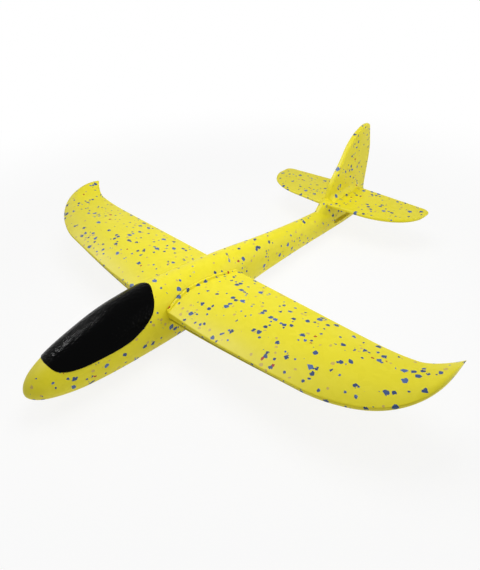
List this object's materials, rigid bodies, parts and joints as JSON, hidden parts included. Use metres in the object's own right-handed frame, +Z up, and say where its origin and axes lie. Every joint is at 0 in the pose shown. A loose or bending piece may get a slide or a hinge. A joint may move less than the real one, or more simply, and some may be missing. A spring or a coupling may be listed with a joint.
{
  "type": "hand-launched foam glider",
  "caption": "Yellow speckled foam glider thrown by hand, with plug-in wings that curl up at the tips, a push-through tailplane, an upright fin and a black canopy",
  "frame": {"origin": "Under the middle of the glider, halfway between nose tip and fin rear and on the plane between left and right, at the height of the flat belly that it rests on", "axes": "+Z up, the nose points to -Y, +X is the glider's own left side"},
  "size_m": [0.4798, 0.487, 0.1256],
  "materials": {
    "yellow_foam": "satin",
    "canopy_black": "satin",
    "weight_steel": "satin"
  },
  "bodies": {
    "body": {"fuselage": "yellow_foam", "canopy": "canopy_black", "nose_weight": "weight_steel"},
    "left_wing": {"left_wing": "yellow_foam"},
    "right_wing": {"right_wing": "yellow_foam"},
    "tailplane": {"tailplane": "yellow_foam"}
  },
  "joints": [
    {"name": "left_wing_plug", "type": "slide", "parent": "body", "child": "left_wing", "axis": [0.9989, 0, 0.0479], "range_m": [0, 0.03]},
    {"name": "right_wing_plug", "type": "slide", "parent": "body", "child": "right_wing", "axis": [-0.9989, 0, 0.0479], "range_m": [0, 0.03]},
    {"name": "tailplane_push", "type": "slide", "parent": "body", "child": "tailplane", "axis": [1, 0, 0], "range_m": [-0.125, 0.125]}
  ]
}
